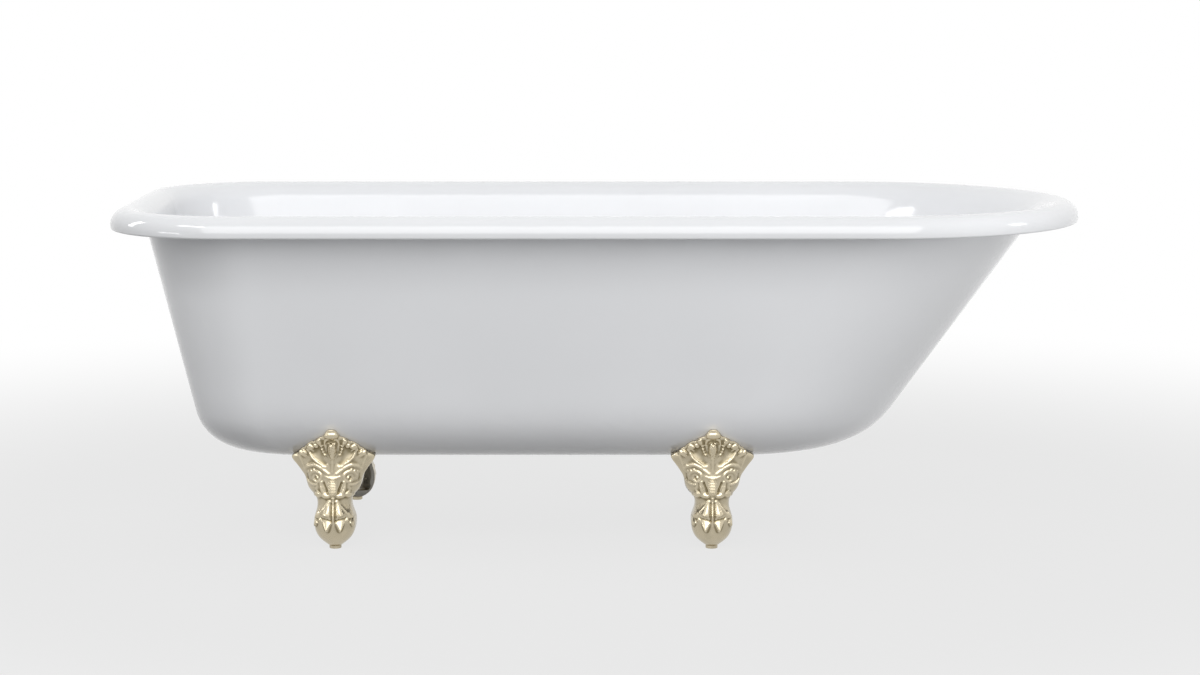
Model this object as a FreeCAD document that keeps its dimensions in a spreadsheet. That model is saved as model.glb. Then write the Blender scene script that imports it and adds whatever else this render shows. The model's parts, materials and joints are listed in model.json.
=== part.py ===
import FreeCAD, Part
import math
import os
import Sketcher

# Roll-rim bathtub on four hollow-backed claw feet, in millimetres.
# +Z is up, +X runs to the sloping back end, -X to the flat tap end.
# The origin is on the floor, under the middle of the rim's outline.

SIZES = {
    # the whole bath
    "overall_length": 1676.0,
    "overall_width": 762.0,
    "overall_height": 584.0,
    "underside_height": 155.0,
    # the casting's skin
    "wall": 7.5,
    # rolled rim
    "roll_radius": 27.5,
    "lip_angle": 10.0,
    "crest_flat": 0.3,
    "roll_reach": 95.0,
    "rim_corner": 212.0,
    # skin of the long sides
    "side_overhang": 59.0,
    "side_slope": 7.9,
    "side_bend": 110.0,
    # skin of the flat tap end
    "tap_overhang": 54.5,
    "tap_slope": 14.2,
    "tap_bend": 95.0,
    # skin of the sloping back end
    "back_overhang": 78.0,
    "back_slope": 35.9,
    "back_bend": 154.0,
    # upright corners of the tap end, at the floor and under the rim
    "floor_corner": 110.0,
    "wall_corner": 187.0,
    # waste and overflow holes
    "waste_hole": 25.4,
    "waste_inset": 108.0,
    "waste_boss": 46.0,
    "waste_boss_drop": 6.0,
    "waste_dish": 42.0,
    "waste_dish_depth": 3.0,
    "overflow_hole": 31.75,
    "overflow_drop": 105.0,
    "overflow_cut": 60.0,
    # lug under the bath at each foot
    "lug_length": 56.0,
    "lug_back": 62.0,
    "lug_front": 6.0,
    "lug_drop": 12.0,
    "lug_root": 20.0,
    # where the feet stand
    "foot_outset": 47.0,
    "tap_foot_inset": 150.0,
    "back_foot_inset": 202.0,
    # foot casting
    "foot_wall": 7.0,
    "foot_gap": 0.6,
    "seat_reach": 125.0,
    "ankle_height": 68.0,
    "crown_depth": 20.0,
    "shelf_thickness": 10.0,
    "boss_radius": 12.5,
    "boss_height": 40.0,
    # stud, washer and nut that hold a foot
    "stud_radius": 6.0,
    "stud_setback": 32.0,
    "stud_grip": 13.0,
    "stud_tail": 4.0,
    "washer_radius": 12.0,
    "washer_thickness": 2.5,
    "nut_flat": 9.5,
    "nut_height": 10.0,
    # levelling screw and its locking nut
    "screw_radius": 5.0,
    "screw_length": 62.0,
    "pad_radius": 10.4,
    "pad_height": 6.0,
    "pad_gap": 0.3,
    "lock_nut_flat": 8.5,
    "lock_nut_height": 6.0,
    "edge_break": 0.8,
    # clearance round a screw or stud in its hole
    "thread_clearance": 0.06,
    "hole_clearance": 0.5,
}

doc = FreeCAD.newDocument("bathtub")


def make_sheet(name, values):
    """A sheet of plain numbers, each with its own alias."""
    sheet = doc.addObject("Spreadsheet::Sheet", name)
    for row, (alias, value) in enumerate(values.items(), start=1):
        sheet.set(f"A{row}", alias.replace("_", " "))
        sheet.set(f"B{row}", f"{value:.6f}")
        sheet.setAlias(f"B{row}", alias)
    doc.recompute()
    return sheet


sizes = make_sheet("Sizes", SIZES)


def size(alias):
    """The number that a cell of the sheet of sizes holds."""
    return float(sizes.get(alias))


# ---------------------------------------------------------------- sketches

FIRST, LAST, CENTRE = 1, 2, 3
X_AXIS, Y_AXIS = -1, -2


def origin_plane(body, role):
    return next(plane for plane in body.Origin.OriginFeatures if plane.Role == role)


def new_sketch(body, name, role, height=None):
    """A sketch on one of the body's own planes, raised by an expression."""
    sketch = body.newObject("Sketcher::SketchObject", name)
    sketch.AttachmentSupport = (origin_plane(body, role), [""])
    sketch.MapMode = "FlatFace"
    if height:
        sketch.setExpression("AttachmentOffset.Base.z", height)
    return sketch


def point(across, along):
    return FreeCAD.Vector(across, along, 0.0)


def arc(centre, radius, start, end):
    """An arc drawn anticlockwise between two angles in degrees."""
    circle = Part.Circle(centre, FreeCAD.Vector(0.0, 0.0, 1.0), radius)
    return Part.ArcOfCircle(circle, math.radians(start), math.radians(end))


def bind(sketch, name, constraint, expression):
    """Adds one named dimension and ties it to the sheets."""
    index = sketch.addConstraint(constraint)
    sketch.renameConstraint(index, name)
    sketch.setExpression(f"Constraints.{name}", expression)


def place(axis, item, end, value):
    """A distance from the sketch's origin, written so that it is positive."""
    if value < 0.0:
        return Sketcher.Constraint(f"Distance{axis}", item, end, X_AXIS, FIRST, -value)
    return Sketcher.Constraint(f"Distance{axis}", X_AXIS, FIRST, item, end, value)


def towards(pair):
    """The expression that goes with place: its sign follows the value's."""
    value, expression = pair
    return f"-({expression})" if value < 0.0 else expression


# ------------------------------------------------- outlines of the casting
# Every level of the casting is the same D: a flat end with two round corners
# at -X, two straight sides and a half round end at +X.

ENDS = ("side", "tap", "back")
RIM_LINE = size("overall_height") - size("roll_radius")


def skin_line(end, depth):
    """How far the skin lies inside the rim's outermost line at each height.

    depth is 0 for the outside of the skin and the wall's thickness for its
    inside. Returns a function of height: a bend off the floor, a straight
    wall and a flare that turns over into the rolled rim.
    """
    slope = math.radians(size(f"{end}_slope"))
    lean = math.tan(slope)
    bend = size(f"{end}_bend") - depth
    bend_height = size("underside_height") + size(f"{end}_bend")
    wall_at_rim = size(f"{end}_overhang") + depth / math.cos(slope)

    crest = size("overall_height") + size("crest_flat")
    inner_wall = size(f"{end}_overhang") + size("wall") / math.cos(slope)
    flare = inner_wall - size("roll_radius") - (crest - RIM_LINE) * lean
    flare /= 1.0 / math.cos(slope) - lean
    flare_height = crest - flare
    flare_radius = flare - size("wall") + depth

    bend_top = bend_height - bend * math.sin(slope)
    flare_foot = flare_height + flare_radius * math.sin(slope)
    bend_centre = wall_at_rim + (RIM_LINE - bend_top) * lean + bend * math.cos(slope)

    def inset(height):
        if height < bend_top:
            rise = min(bend_height - height, bend)
            return bend_centre - math.sqrt(bend ** 2 - rise ** 2)
        if height < flare_foot:
            return wall_at_rim + (RIM_LINE - height) * lean
        rise = height - flare_height
        return size("roll_radius") + math.sqrt(flare_radius ** 2 - rise ** 2)

    return inset


BEND_TURNS = (0.0, 10.0, 20.0, 30.0, 41.0, 53.0, 66.0, 80.0)
FLARE_TURNS = (0.0, 14.0, 30.0, 48.0, 66.0)
WALL_STEPS = 3


def level_heights(depth):
    """Heights of the levels, close together where the skin bends."""
    floor = size("underside_height") + depth
    bend = size("back_bend") - depth
    low = [floor + bend * (1.0 - math.cos(math.radians(turn))) for turn in BEND_TURNS]
    top = size("overall_height") - size("wall") + depth
    flare = size("side_overhang") - size("roll_radius") + depth
    high = [top - flare * (1.0 - math.sin(math.radians(turn))) for turn in FLARE_TURNS]
    step = (high[0] - low[-1]) / (WALL_STEPS + 1)
    middle = [low[-1] + step * (number + 1) for number in range(WALL_STEPS)]
    return low + middle + high + [top]


def casting_levels(prefix, depth):
    """Height and outline of each level, as values for the sheet of levels."""
    lines = {end: skin_line(end, depth) for end in ENDS}
    heights = level_heights(depth)
    half_length = size("overall_length") / 2.0
    values = {}
    for number, height in enumerate(heights):
        share = (height - heights[0]) / (heights[-1] - heights[0])
        half_width = size("overall_width") / 2.0 - lines["side"](height)
        back_end = half_length - lines["back"](height)
        level = f"{prefix}_{number}"
        values[f"{level}_height"] = height
        values[f"{level}_half_width"] = half_width
        values[f"{level}_tap_end"] = half_length - lines["tap"](height)
        values[f"{level}_round_centre"] = back_end - half_width
        values[f"{level}_corner"] = (
            size("floor_corner") + share * (size("wall_corner") - size("floor_corner"))
        )
    return values


OUTER = casting_levels("outer", 0.0)
INNER = casting_levels("inner", size("wall"))
levels = make_sheet("Levels", {**OUTER, **INNER})


def draw_outline(sketch, half_width, tap_end, round_centre, corner):
    """The D outline. Each argument is a value and the expression that sets it."""
    width, end, centre, turn = (pair[0] for pair in (half_width, tap_end, round_centre, corner))
    side_start = point(turn - end, -width)
    near = point(turn - end, turn - width)
    far = point(turn - end, width - turn)
    sketch.addGeometry([
        Part.LineSegment(side_start, point(centre, -width)),
        arc(point(centre, 0.0), width, -90.0, 0.0),
        arc(point(centre, 0.0), width, 0.0, 90.0),
        Part.LineSegment(point(centre, width), point(turn - end, width)),
        arc(far, turn, 90.0, 180.0),
        Part.LineSegment(point(-end, width - turn), point(-end, turn - width)),
        arc(near, turn, 180.0, 270.0),
    ], False)
    near_side, near_round, far_round, far_side, far_corner, flat_end, near_corner = range(7)
    joins = [(near_side, near_round), (far_round, far_side), (far_side, far_corner),
             (far_corner, flat_end), (flat_end, near_corner), (near_corner, near_side)]
    sketch.addConstraint(
        [Sketcher.Constraint("Tangent", first, LAST, second, FIRST) for first, second in joins]
        + [
            Sketcher.Constraint("Coincident", near_round, LAST, far_round, FIRST),
            Sketcher.Constraint("Coincident", near_round, CENTRE, far_round, CENTRE),
            Sketcher.Constraint("PointOnObject", near_round, CENTRE, X_AXIS),
            Sketcher.Constraint("PointOnObject", near_round, LAST, X_AXIS),
            Sketcher.Constraint("Horizontal", near_side),
            Sketcher.Constraint("Horizontal", far_side),
            Sketcher.Constraint("Vertical", flat_end),
            Sketcher.Constraint("Equal", far_corner, near_corner),
        ])
    bind(sketch, "half_width", Sketcher.Constraint("Radius", near_round, width), half_width[1])
    bind(sketch, "tap_end",
         Sketcher.Constraint("DistanceX", flat_end, FIRST, X_AXIS, FIRST, end), tap_end[1])
    bind(sketch, "round_centre",
         Sketcher.Constraint("DistanceX", X_AXIS, FIRST, near_round, CENTRE, centre),
         round_centre[1])
    bind(sketch, "corner", Sketcher.Constraint("Radius", near_corner, turn), corner[1])


def level_sketches(body, prefix, values):
    """One sketch for each level of the sheet of levels that starts with prefix."""
    sketches = []
    count = sum(name.endswith("_height") for name in values)
    for number in range(count):
        level = f"{prefix}_{number}"
        sketch = new_sketch(body, f"{level}_outline", "XY_Plane", f"Levels.{level}_height")
        pairs = [(values[f"{level}_{name}"], f"Levels.{level}_{name}")
                 for name in ("half_width", "tap_end", "round_centre", "corner")]
        draw_outline(sketch, *pairs)
        sketches.append(sketch)
    return sketches


def loft(body, kind, name, sketches):
    feature = body.newObject(f"PartDesign::{kind}Loft", name)
    feature.Profile = sketches[0]
    feature.Sections = sketches[1:]
    feature.Refine = False
    return feature


def new_body(label):
    body = doc.addObject("PartDesign::Body", label)
    body.Label = label
    return body


# ------------------------------------------------------------ the casting

def rim_path(body):
    """The rim's outermost line, seen from above."""
    sketch = new_sketch(body, "rim_path", "XY_Plane",
                        "Sizes.overall_height - Sizes.roll_radius")
    half_width = size("overall_width") / 2.0
    half_length = size("overall_length") / 2.0
    draw_outline(
        sketch,
        (half_width, "Sizes.overall_width / 2"),
        (half_length, "Sizes.overall_length / 2"),
        (half_length - half_width, "(Sizes.overall_length - Sizes.overall_width) / 2"),
        (size("rim_corner"), "Sizes.rim_corner"))
    return sketch


def rim_section(body):
    """The rolled rim cut across: a hook over the top with a round lip."""
    sketch = new_sketch(body, "rim_section", "YZ_Plane",
                        "Sizes.rim_corner - Sizes.overall_length / 2")
    roll = size("roll_radius")
    wall = size("wall")
    turn = 180.0 + size("lip_angle")
    across = roll - size("overall_width") / 2.0
    end = size("roll_reach") - size("overall_width") / 2.0
    top = size("overall_height")
    centre = point(across, top - roll)
    spread = roll - wall / 2.0
    lip = centre + point(spread * math.cos(math.radians(turn)),
                         spread * math.sin(math.radians(turn)))
    sketch.addGeometry([
        arc(centre, roll, 90.0, turn),
        arc(lip, wall / 2.0, turn, turn + 180.0),
        arc(centre, roll - wall, 90.0, turn),
        Part.LineSegment(point(across, top - wall), point(end, top - wall)),
        Part.LineSegment(point(end, top - wall), point(end, top)),
        Part.LineSegment(point(end, top), point(across, top)),
    ], False)
    over, bead, under, bottom, inner_end, crest = range(6)
    sketch.addConstraint([
        Sketcher.Constraint("Tangent", over, LAST, bead, FIRST),
        Sketcher.Constraint("Tangent", bead, LAST, under, LAST),
        Sketcher.Constraint("Tangent", under, FIRST, bottom, FIRST),
        Sketcher.Constraint("Coincident", bottom, LAST, inner_end, FIRST),
        Sketcher.Constraint("Coincident", inner_end, LAST, crest, FIRST),
        Sketcher.Constraint("Tangent", crest, LAST, over, FIRST),
        Sketcher.Constraint("Coincident", over, CENTRE, under, CENTRE),
        Sketcher.Constraint("Horizontal", bottom),
        Sketcher.Constraint("Horizontal", crest),
        Sketcher.Constraint("Vertical", inner_end),
    ])
    drop = spread * math.sin(math.radians(size("lip_angle")))
    bind(sketch, "roll", Sketcher.Constraint("Radius", over, roll), "Sizes.roll_radius")
    bind(sketch, "wall", Sketcher.Constraint("DistanceY", inner_end, FIRST, inner_end, LAST, wall),
         "Sizes.wall")
    bind(sketch, "reach", Sketcher.Constraint("DistanceX", inner_end, FIRST, X_AXIS, FIRST, -end),
         "Sizes.overall_width / 2 - Sizes.roll_reach")
    bind(sketch, "across", Sketcher.Constraint("DistanceX", over, CENTRE, X_AXIS, FIRST, -across),
         "Sizes.overall_width / 2 - Sizes.roll_radius")
    bind(sketch, "top", Sketcher.Constraint("DistanceY", X_AXIS, FIRST, crest, FIRST, top),
         "Sizes.overall_height")
    bind(sketch, "lip", Sketcher.Constraint("DistanceY", bead, CENTRE, over, CENTRE, drop),
         "(Sizes.roll_radius - Sizes.wall / 2) * sin(Sizes.lip_angle)")
    return sketch


def draw_rectangle(sketch, name, left, bottom, length, depth):
    """A rectangle. Each argument is a value and the expression that sets it."""
    start = point(left[0], bottom[0])
    corners = [start, start + point(length[0], 0.0), start + point(length[0], depth[0]),
               start + point(0.0, depth[0])]
    near, right, far, west = sketch.addGeometry(
        [Part.LineSegment(corners[side], corners[(side + 1) % 4]) for side in range(4)], False)
    ring = [near, right, far, west]
    sketch.addConstraint(
        [Sketcher.Constraint("Coincident", ring[side], LAST, ring[(side + 1) % 4], FIRST)
         for side in range(4)]
        + [Sketcher.Constraint("Horizontal", near), Sketcher.Constraint("Horizontal", far),
           Sketcher.Constraint("Vertical", right), Sketcher.Constraint("Vertical", west)])
    bind(sketch, f"{name}_left", place("X", near, FIRST, left[0]), towards(left))
    bind(sketch, f"{name}_bottom", place("Y", near, FIRST, bottom[0]), towards(bottom))
    bind(sketch, f"{name}_length",
         Sketcher.Constraint("DistanceX", near, FIRST, near, LAST, length[0]), length[1])
    bind(sketch, f"{name}_depth",
         Sketcher.Constraint("DistanceY", right, FIRST, right, LAST, depth[0]), depth[1])


def draw_circle(sketch, name, across, along, radius):
    """A circle. Each argument is a value and the expression that sets it."""
    circle = Part.Circle(point(across[0], along[0]), FreeCAD.Vector(0.0, 0.0, 1.0), radius[0])
    index = sketch.addGeometry(circle, False)
    for axis, pair, on_axis in (("X", across, Y_AXIS), ("Y", along, X_AXIS)):
        if pair[0]:
            bind(sketch, f"{name}_{axis.lower()}", place(axis, index, CENTRE, pair[0]),
                 towards(pair))
        else:
            sketch.addConstraint(Sketcher.Constraint("PointOnObject", index, CENTRE, on_axis))
    bind(sketch, f"{name}_radius", Sketcher.Constraint("Radius", index, radius[0]), radius[1])


ZERO = (0.0, "0")


def sized(expression):
    """The value that the sheets give an expression, and the expression."""
    return float(sizes.evalExpression(expression)), expression


def pad(body, name, sketch, length):
    feature = body.newObject("PartDesign::Pad", name)
    feature.Profile = sketch
    feature.setExpression("Length", length)
    return feature


def pocket(body, name, sketch, length, forward=False):
    """A cut of a given depth, against the sketch's normal unless forward."""
    feature = body.newObject("PartDesign::Pocket", name)
    feature.Profile = sketch
    feature.Reversed = forward
    feature.setExpression("Length", length)
    return feature


def mirror_sides(body, name, features):
    """Repeats features on the other long side of the bath."""
    feature = body.newObject("PartDesign::Mirrored", name)
    feature.Originals = features
    feature.MirrorPlane = (origin_plane(body, "XZ_Plane"), [""])
    body.Tip = feature
    return feature


FOOT_X = {
    "tap": "(Sizes.tap_foot_inset - Levels.outer_0_tap_end)",
    "back": "(Levels.outer_0_round_centre + Levels.outer_0_half_width - Sizes.back_foot_inset)",
}
FOOT_Y = "(Levels.outer_0_half_width + Sizes.foot_outset)"
WASTE_X = "(Sizes.waste_inset - Levels.outer_0_tap_end)"


def add_lugs(body):
    """A lug at each foot, with a blind hole for its stud."""
    lugs = new_sketch(body, "lug_outlines", "XY_Plane",
                      "Sizes.underside_height - Sizes.lug_drop")
    holes = new_sketch(body, "stud_holes", "XY_Plane",
                       "Sizes.underside_height - Sizes.lug_drop")
    for end, foot_x in FOOT_X.items():
        draw_rectangle(lugs, end, sized(f"{foot_x} - Sizes.lug_length / 2"),
                       sized(f"Sizes.lug_front - {FOOT_Y}"), sized("Sizes.lug_length"),
                       sized("Sizes.lug_back - Sizes.lug_front"))
        draw_circle(holes, end, sized(foot_x), sized(f"Sizes.stud_setback - {FOOT_Y}"),
                    sized("Sizes.stud_radius + Sizes.thread_clearance"))
    block = pad(body, "lugs", lugs, "Sizes.lug_drop + Sizes.lug_root")
    bores = pocket(body, "stud_bores", holes, "Sizes.stud_grip + Sizes.hole_clearance", True)
    return mirror_sides(body, "lugs_both_sides", [block, bores])


def add_waste_boss(body):
    """A thicker ring of floor round the waste hole."""
    sketch = new_sketch(body, "waste_boss_outline", "XY_Plane",
                        "Sizes.underside_height - Sizes.waste_boss_drop")
    draw_circle(sketch, "boss", sized(WASTE_X), ZERO, sized("Sizes.waste_boss"))
    return pad(body, "waste_boss", sketch, "Sizes.waste_boss_drop + Sizes.wall / 2")


def cut_waste(body):
    """The waste hole, with the shallow dish that its flange sits in."""
    bore = new_sketch(body, "waste_bore_outline", "XY_Plane",
                      "Sizes.underside_height + Sizes.wall")
    draw_circle(bore, "bore", sized(WASTE_X), ZERO, sized("Sizes.waste_hole"))
    pocket(body, "waste_bore", bore, "Sizes.wall + 2 * Sizes.waste_boss_drop")
    dish = new_sketch(body, "waste_dish_outline", "XY_Plane",
                      "Sizes.underside_height + Sizes.wall")
    draw_circle(dish, "dish", sized(WASTE_X), ZERO, sized("Sizes.waste_dish"))
    return pocket(body, "waste_dish", dish, "Sizes.waste_dish_depth")


def cut_overflow(body):
    """The overflow hole, square to the sloping wall of the tap end."""
    height = "(Sizes.overall_height - Sizes.overflow_drop)"
    wall_x = ("(Sizes.tap_overhang - Sizes.overall_length / 2"
              f" + (Sizes.overall_height - Sizes.roll_radius - {height}) * tan(Sizes.tap_slope))")
    sketch = new_sketch(body, "overflow_outline", "YZ_Plane")
    sketch.AttachmentOffset = FreeCAD.Placement(
        FreeCAD.Vector(), FreeCAD.Rotation(FreeCAD.Vector(1.0, 0.0, 0.0), -size("tap_slope")))
    sketch.setExpression("AttachmentOffset.Rotation.Angle", "-Sizes.tap_slope")
    sketch.setExpression("AttachmentOffset.Base.y", height)
    sketch.setExpression("AttachmentOffset.Base.z", wall_x)
    draw_circle(sketch, "overflow", ZERO, ZERO, sized("Sizes.overflow_hole"))
    return pocket(body, "overflow_bore", sketch, "Sizes.overflow_cut", True)


tub = new_body("tub_shell")
loft(tub, "Additive", "outer_skin", level_sketches(tub, "outer", OUTER))
rim = tub.newObject("PartDesign::AdditivePipe", "rolled_rim")
rim.Profile = rim_section(tub)
rim.Spine = (rim_path(tub), [])
rim.Refine = False
add_waste_boss(tub)
add_lugs(tub)
loft(tub, "Subtractive", "bathing_well", level_sketches(tub, "inner", INNER))
doc.recompute()
cut_waste(tub)
cut_overflow(tub)
doc.recompute()


# --------------------------------------------------------------- the feet
# A foot's own frame has its levelling screw on +Z and its front towards -Y.
# Each level of the casting is a bow-fronted outline: half width, how far the
# front and the shoulders stand out, and how far back the sides reach.

# Heights are measured up from the floor, as a share of the leg between the
# ankle and the crown, or from the bath's underside.

DATUMS = {
    "floor": "{rise}",
    "leg": ("Sizes.ankle_height + {rise}"
            " * (Sizes.underside_height - Sizes.crown_depth - Sizes.ankle_height)"),
    "skin": "Sizes.underside_height + {rise}",
}
FOOT_SHAPE = (
    # datum, rise, half width, front, shoulder, back
    ("floor", 6.3, 11.0, 11.0, 0.0, 9.0),
    ("floor", 11.0, 18.0, 18.0, 0.0, 15.0),
    ("floor", 20.0, 27.5, 27.5, 0.0, 20.0),
    ("floor", 32.0, 33.5, 34.5, 0.0, 23.0),
    ("floor", 46.0, 35.5, 37.5, 1.0, 24.0),
    ("floor", 57.0, 34.5, 39.5, 4.0, 22.0),
    ("leg", 0.0, 31.0, 38.5, 7.0, 19.0),
    ("leg", 0.18, 30.5, 36.0, 7.0, 17.0),
    ("leg", 0.37, 33.5, 36.0, 6.0, 18.0),
    ("leg", 0.57, 40.0, 38.5, 6.0, 22.0),
    ("leg", 0.78, 45.0, 40.0, 8.0, 33.0),
    ("leg", 1.0, 53.5, 39.5, 12.0, 45.0),
    ("skin", -5.0, 63.5, 38.5, 16.0, 50.0),
    ("skin", 9.0, 71.0, 38.0, 20.0, 50.0),
    ("skin", 20.0, 63.5, 39.0, 26.0, 46.0),
    ("skin", 31.0, 51.5, 43.5, 35.5, 42.0),
    ("skin", 42.0, 36.0, 50.5, 45.5, 38.0),
    ("skin", 52.0, 19.5, 57.0, 54.5, 34.0),
    ("skin", 60.0, 9.0, 62.0, 60.8, 30.0),
)
HOLLOW_LEVELS = range(2, 15)
SHELF_LEVEL = 11


def draw_bow(sketch, half_width, front, shoulder, back):
    """A bow-fronted outline. Each argument is a value and its expression."""
    wide, fore, turn, rear = (pair[0] for pair in (half_width, front, shoulder, back))
    rise = fore - turn
    radius = (wide ** 2 + rise ** 2) / (2.0 * rise)
    centre = point(0.0, radius - fore)
    reach = math.degrees(math.asin(min(wide / radius, 1.0)))
    sketch.addGeometry([
        Part.LineSegment(point(-wide, rear), point(-wide, -turn)),
        arc(centre, radius, 270.0 - reach, 270.0),
        arc(centre, radius, 270.0, 270.0 + reach),
        Part.LineSegment(point(wide, -turn), point(wide, rear)),
        Part.LineSegment(point(wide, rear), point(-wide, rear)),
    ], False)
    left, near_left, near_right, right, rear_side = range(5)
    sketch.addConstraint([
        Sketcher.Constraint("Coincident", left, LAST, near_left, FIRST),
        Sketcher.Constraint("Coincident", near_left, LAST, near_right, FIRST),
        Sketcher.Constraint("Coincident", near_right, LAST, right, FIRST),
        Sketcher.Constraint("Coincident", right, LAST, rear_side, FIRST),
        Sketcher.Constraint("Coincident", rear_side, LAST, left, FIRST),
        Sketcher.Constraint("Coincident", near_left, CENTRE, near_right, CENTRE),
        Sketcher.Constraint("PointOnObject", near_left, CENTRE, Y_AXIS),
        Sketcher.Constraint("PointOnObject", near_left, LAST, Y_AXIS),
        Sketcher.Constraint("Horizontal", near_left, FIRST, near_right, LAST),
        Sketcher.Constraint("Vertical", left),
        Sketcher.Constraint("Vertical", right),
        Sketcher.Constraint("Horizontal", rear_side),
    ])
    bind(sketch, "left", Sketcher.Constraint("DistanceX", left, FIRST, X_AXIS, FIRST, wide),
         half_width[1])
    bind(sketch, "front",
         Sketcher.Constraint("DistanceY", near_left, LAST, X_AXIS, FIRST, fore), front[1])
    if turn:
        bind(sketch, "shoulder",
             Sketcher.Constraint("DistanceY", near_left, FIRST, X_AXIS, FIRST, turn), shoulder[1])
    else:
        sketch.addConstraint(Sketcher.Constraint("PointOnObject", near_left, FIRST, X_AXIS))
    bind(sketch, "back",
         Sketcher.Constraint("DistanceY", X_AXIS, FIRST, rear_side, FIRST, rear), back[1])


def foot_values():
    """The foot's levels, as values for a sheet."""
    values = {}
    for number, (_, rise, half_width, front, shoulder, back) in enumerate(FOOT_SHAPE):
        values[f"level_{number}_rise"] = rise
        values[f"level_{number}_half_width"] = half_width
        values[f"level_{number}_front"] = front
        values[f"level_{number}_shoulder"] = shoulder
        values[f"level_{number}_back"] = back
    return values


foot_sheet = make_sheet("FootLevels", foot_values())


def foot_level(number):
    """Expressions for one level: its height and its outline."""
    cell = f"FootLevels.level_{number}_"
    height = DATUMS[FOOT_SHAPE[number][0]].format(rise=f"{cell}rise")
    return height, [cell + name for name in ("half_width", "front", "shoulder", "back")]


def foot_skin(body):
    sketches = []
    for number in range(len(FOOT_SHAPE)):
        height, outline = foot_level(number)
        sketch = new_sketch(body, f"foot_level_{number}", "XY_Plane", height)
        draw_bow(sketch, *(sized(expression) for expression in outline))
        sketches.append(sketch)
    return loft(body, "Additive", "foot_skin", sketches)


def foot_hollow(body):
    """The hollow is open to the back, with the same wall all round."""
    sketches = []
    for number in HOLLOW_LEVELS:
        height, (half_width, front, shoulder, _) = foot_level(number)
        sketch = new_sketch(body, f"hollow_level_{number}", "XY_Plane", height)
        draw_bow(sketch, sized(f"{half_width} - Sizes.foot_wall"),
                 sized(f"{front} - Sizes.foot_wall"), sized(shoulder),
                 sized("Sizes.lug_back + Sizes.foot_wall"))
        sketches.append(sketch)
    return loft(body, "Subtractive", "foot_hollow", sketches)


def foot_shelf(body):
    """The shelf that carries the lug, across the top of the hollow."""
    sketch = new_sketch(body, "shelf_outline", "XY_Plane",
                        "Sizes.underside_height - Sizes.lug_drop - Sizes.shelf_thickness")
    _, (half_width, front, shoulder, _) = foot_level(SHELF_LEVEL)
    draw_bow(sketch, sized(f"{half_width} - Sizes.foot_wall / 2"),
             sized(f"{front} - Sizes.foot_wall / 2"), sized(shoulder),
             sized("Sizes.lug_back - Sizes.foot_wall / 2"))
    return pad(body, "shelf", sketch, "Sizes.shelf_thickness")


def foot_boss(body):
    """The post inside the ball that the levelling screw threads into."""
    sketch = new_sketch(body, "boss_outline", "XY_Plane", "Sizes.pad_height + Sizes.pad_gap")
    draw_circle(sketch, "boss", ZERO, ZERO, sized("Sizes.boss_radius"))
    return pad(body, "boss", sketch, "Sizes.boss_height - Sizes.pad_height - Sizes.pad_gap")


def foot_bores(body):
    screw = new_sketch(body, "screw_bore_outline", "XY_Plane", "Sizes.boss_height")
    draw_circle(screw, "bore", ZERO, ZERO, sized("Sizes.screw_radius + Sizes.thread_clearance"))
    pocket(body, "screw_bore", screw, "Sizes.boss_height")
    stud = new_sketch(body, "stud_bore_outline", "XY_Plane",
                      "Sizes.underside_height - Sizes.lug_drop")
    draw_circle(stud, "bore", ZERO, sized("Sizes.stud_setback"),
                sized("Sizes.stud_radius + Sizes.hole_clearance"))
    pocket(body, "stud_bore", stud, "Sizes.shelf_thickness")


def foot_seat(body):
    """Cuts the crown's back to the bath's own curve, with a small gap."""
    sketch = new_sketch(body, "seat_outline", "YZ_Plane", "-Sizes.seat_reach")
    low = sized("Sizes.underside_height - Sizes.foot_gap")
    centre = sized("Sizes.foot_outset")
    radius = sized("Sizes.side_bend + Sizes.foot_gap")
    height = sized("Sizes.underside_height + Sizes.side_bend")
    rear = sized("Sizes.seat_reach")
    sketch.addGeometry([
        arc(point(centre[0], height[0]), radius[0], 180.0, 270.0),
        Part.LineSegment(point(centre[0], low[0]), point(rear[0], low[0])),
        Part.LineSegment(point(rear[0], low[0]), point(rear[0], height[0])),
        Part.LineSegment(point(rear[0], height[0]), point(centre[0] - radius[0], height[0])),
    ], False)
    bend, floor, rear_side, top = range(4)
    sketch.addConstraint([
        Sketcher.Constraint("Tangent", bend, LAST, floor, FIRST),
        Sketcher.Constraint("Coincident", floor, LAST, rear_side, FIRST),
        Sketcher.Constraint("Coincident", rear_side, LAST, top, FIRST),
        Sketcher.Constraint("Coincident", top, LAST, bend, FIRST),
        Sketcher.Constraint("PointOnObject", bend, CENTRE, top),
        Sketcher.Constraint("Horizontal", floor),
        Sketcher.Constraint("Vertical", rear_side),
        Sketcher.Constraint("Horizontal", top),
    ])
    bind(sketch, "bend", Sketcher.Constraint("Radius", bend, radius[0]), radius[1])
    bind(sketch, "centre", place("X", bend, CENTRE, centre[0]), centre[1])
    bind(sketch, "height", place("Y", bend, CENTRE, height[0]), height[1])
    bind(sketch, "rear", place("X", rear_side, FIRST, rear[0]), rear[1])
    return pocket(body, "seat", sketch, "2 * Sizes.seat_reach", True)


def stand(body, end, side, setback="0", height="0"):
    """Puts a piece at one foot. side is -1 for near, 1 for far."""
    turn = 180.0 if side > 0 else 0.0
    body.Placement = FreeCAD.Placement(
        FreeCAD.Vector(), FreeCAD.Rotation(FreeCAD.Vector(0.0, 0.0, 1.0), turn))
    body.setExpression("Placement.Base.x", FOOT_X[end])
    body.setExpression("Placement.Base.y", f"{side} * ({FOOT_Y} - {setback})")
    body.setExpression("Placement.Base.z", height)


def foot(label):
    body = new_body(label)
    foot_skin(body)
    foot_hollow(body)
    foot_shelf(body)
    foot_boss(body)
    foot_bores(body)
    foot_seat(body)
    return body


# ----------------------------------------------------- screws, nuts, washers

# How far out the cut that turns a nut's corners off starts, as a share of its flats.
CORNER_REACH = 1.3


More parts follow.
